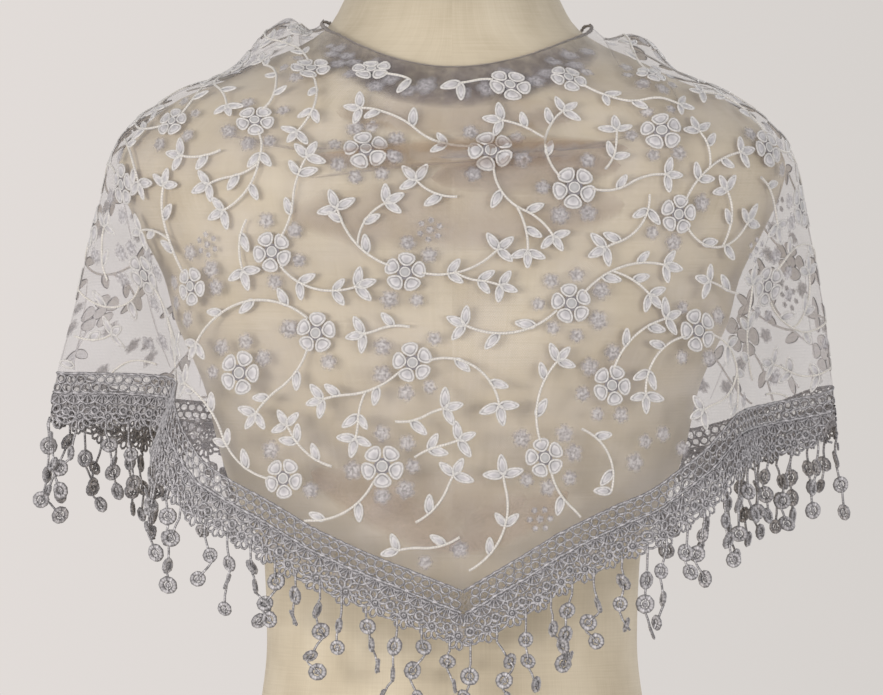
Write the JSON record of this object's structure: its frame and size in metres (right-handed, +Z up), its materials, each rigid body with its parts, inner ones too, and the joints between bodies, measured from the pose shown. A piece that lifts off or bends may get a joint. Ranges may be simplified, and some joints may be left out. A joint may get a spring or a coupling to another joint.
{
  "type": "chapel veil on a dress form",
  "caption": "Triangle veil of embroidered net with a lace band and rosette fringe, draped point to the front on a limbless linen dress form.",
  "frame": {"origin": "centre of the dress form's flat base", "axes": "-Y to the front of the veil, where its point hangs; +X to the right seen from the front; +Z up the dress form"},
  "size_m": [0.4608, 0.2623, 0.625],
  "materials": {
    "linen": "fine plain-woven linen, pale straw, matt",
    "embroidered_net": "sheer grey net with raised pale grey flowers, leaves and stems",
    "lace_thread": "dark grey twisted thread lace, soft sheen",
    "rosette_thread": "dark grey thread rosettes on cords, soft sheen"
  },
  "bodies": {
    "root": {"dress_form": "linen", "net_front": "embroidered_net", "net_tail_left": "embroidered_net", "net_tail_right": "embroidered_net", "neck_turn_in": "embroidered_net", "lace_front_left": "lace_thread", "fringe_front_left": "rosette_thread", "lace_front_right": "lace_thread", "fringe_front_right": "rosette_thread", "lace_tail_left": "lace_thread", "fringe_tail_left": "rosette_thread", "lace_tail_right": "lace_thread", "fringe_tail_right": "rosette_thread"}
  },
  "joints": []
}
